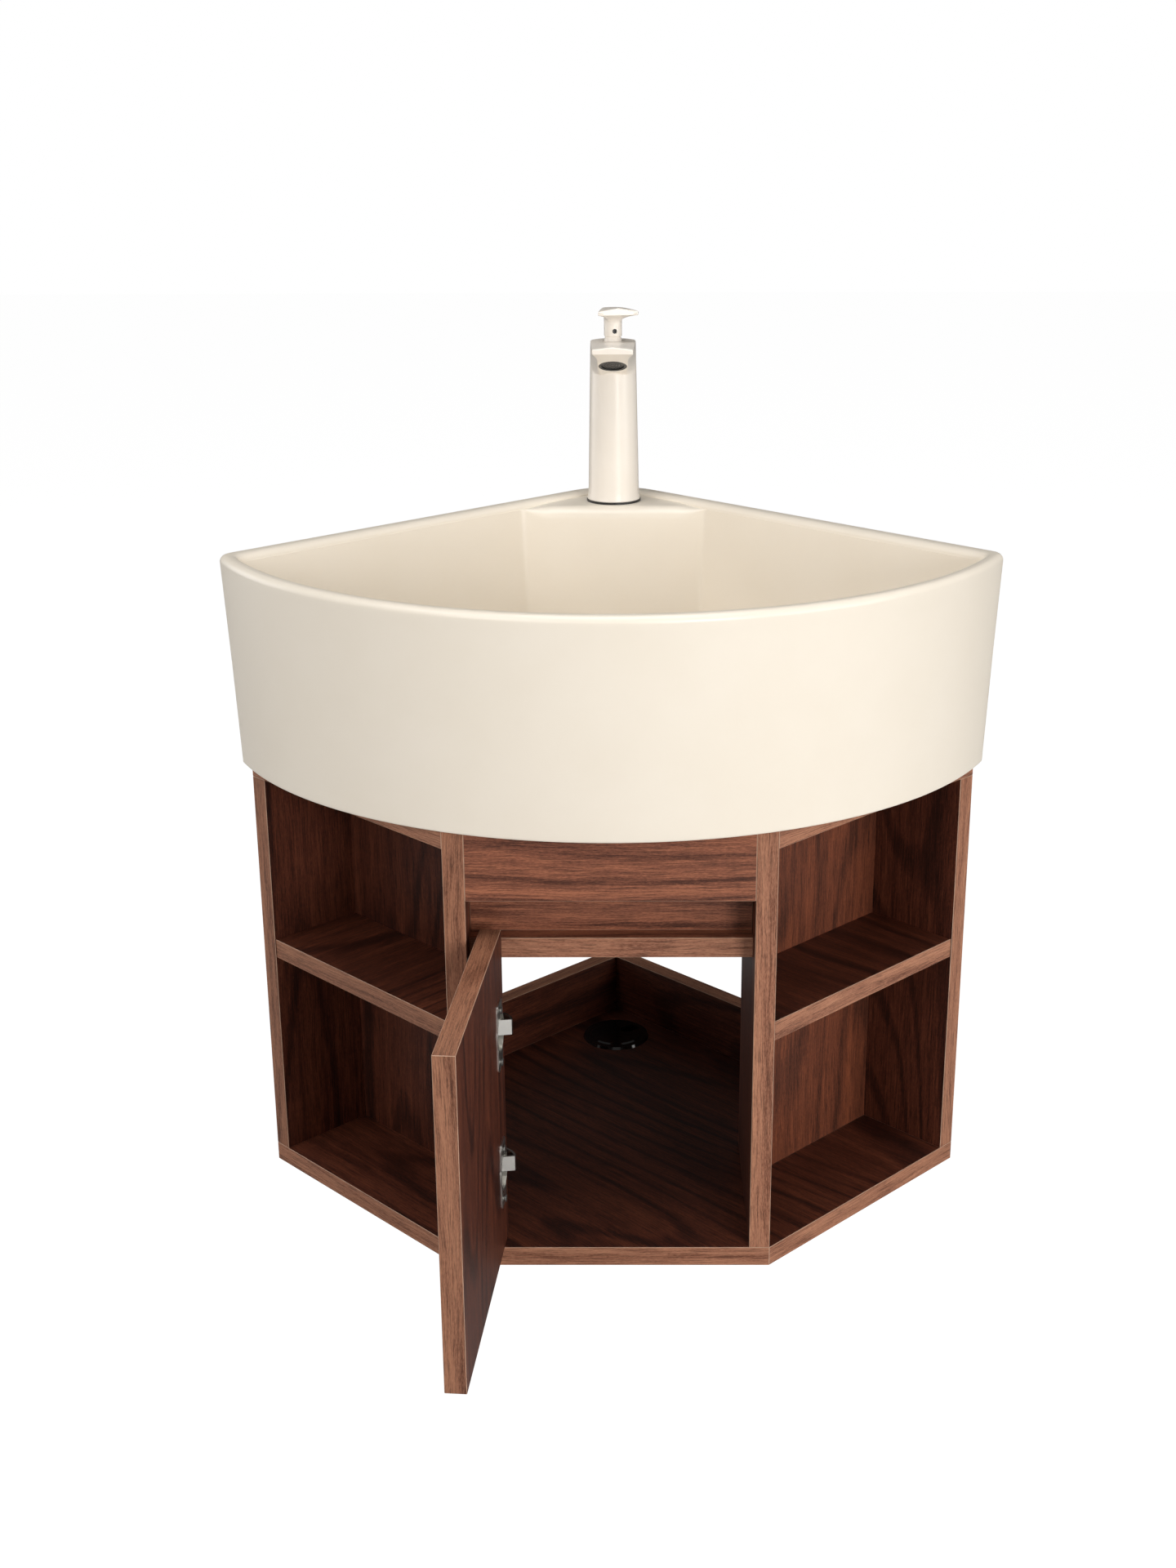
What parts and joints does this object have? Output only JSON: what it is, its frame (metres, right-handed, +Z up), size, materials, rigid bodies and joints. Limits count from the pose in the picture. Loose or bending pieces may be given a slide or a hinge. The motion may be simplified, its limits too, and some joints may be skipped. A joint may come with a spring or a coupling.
{
  "type": "corner vanity unit",
  "caption": "Corner cabinet with a hinged door and open side niches, carrying a quarter-round ceramic basin with a straight-bodied lever tap.",
  "frame": {"origin": "the point where the two room walls meet, level with the underside of the cabinet", "axes": "+X to the right seen from the front, +Y from the front towards the room corner, +Z up; the two walls run at 45 degrees between -Y and +X or -X"},
  "size_m": [0.6754, 0.7269, 0.784],
  "materials": {
    "walnut_board": "walnut-look board, satin",
    "cream_ceramic": "matt cream glaze",
    "cream_lacquer": "satin cream lacquer on brass",
    "dark_gloss_plastic": "dark gloss",
    "black_rubber": "black",
    "grey_plastic": "grey",
    "plated_steel": "zinc-plated",
    "chrome_waste": "polished",
    "nickel_plate": "bright nickel plate"
  },
  "bodies": {
    "vanity": {"bottom_panel": "walnut_board", "top_panel": "walnut_board", "left_divider": "walnut_board", "right_divider": "walnut_board", "left_niche_wall": "walnut_board", "right_niche_wall": "walnut_board", "left_back_panel": "walnut_board", "right_back_panel": "walnut_board", "left_niche_shelf": "walnut_board", "right_niche_shelf": "walnut_board", "frieze_rail": "walnut_board", "recess_board": "walnut_board", "stretcher": "walnut_board", "left_low_rail": "walnut_board", "right_low_rail": "walnut_board", "left_hanging_rail": "walnut_board", "right_hanging_rail": "walnut_board", "cam_locks": "nickel_plate", "cam_bolts": "plated_steel", "floor_outlet_sleeve": "dark_gloss_plastic", "hinge_arms": "nickel_plate", "mounting_plates": "nickel_plate", "plate_screws": "plated_steel", "arm_screws": "plated_steel", "basin": "cream_ceramic", "waste_flange": "chrome_waste", "waste_body": "chrome_waste", "waste_washer": "black_rubber", "waste_nut": "grey_plastic", "tap_base_ring": "black_rubber", "tap_body": "cream_lacquer", "aerator_housing": "black_rubber", "aerator_insert": "grey_plastic", "cartridge_housing": "grey_plastic", "cartridge_nut": "nickel_plate", "tap_cap": "cream_lacquer", "tap_shank": "nickel_plate", "tap_washer": "black_rubber", "tap_nut": "nickel_plate"},
    "door": {"door": "walnut_board", "hinge_cups": "nickel_plate", "hinge_pins": "plated_steel", "cup_screws": "plated_steel"},
    "mixer": {"cartridge_rotor": "grey_plastic", "tilt_pin": "plated_steel"},
    "lever": {"tap_handle": "cream_lacquer", "handle_screw": "plated_steel", "cartridge_spindle": "nickel_plate"},
    "plug": {"waste_plug": "chrome_waste"},
    "outlet_cap": {"floor_outlet_cap": "dark_gloss_plastic"}
  },
  "joints": [
    {"name": "door_swing", "type": "hinge", "parent": "vanity", "child": "door", "pos_m": [-0.10339, -0.50607, 0.1615], "axis": [0, 0, -1], "range_deg": [-94.5, 10.5]},
    {"name": "handle_turn", "type": "hinge", "parent": "vanity", "child": "mixer", "pos_m": [0, -0.079, 0.749], "axis": [0, 0, 1], "range_deg": [-57, 33]},
    {"name": "handle_tilt", "type": "hinge", "parent": "mixer", "child": "lever", "pos_m": [0, -0.079, 0.749], "axis": [-0.9781, -0.2079, 0], "range_deg": [0, 20]},
    {"name": "plug_slide", "type": "slide", "parent": "vanity", "child": "plug", "axis": [0, 0, 1], "range_m": [-0.008, 0]},
    {"name": "outlet_cap_turn", "type": "hinge", "parent": "vanity", "child": "outlet_cap", "pos_m": [0, -0.095, 0.018], "axis": [0, 0, 1], "continuous": true}
  ]
}
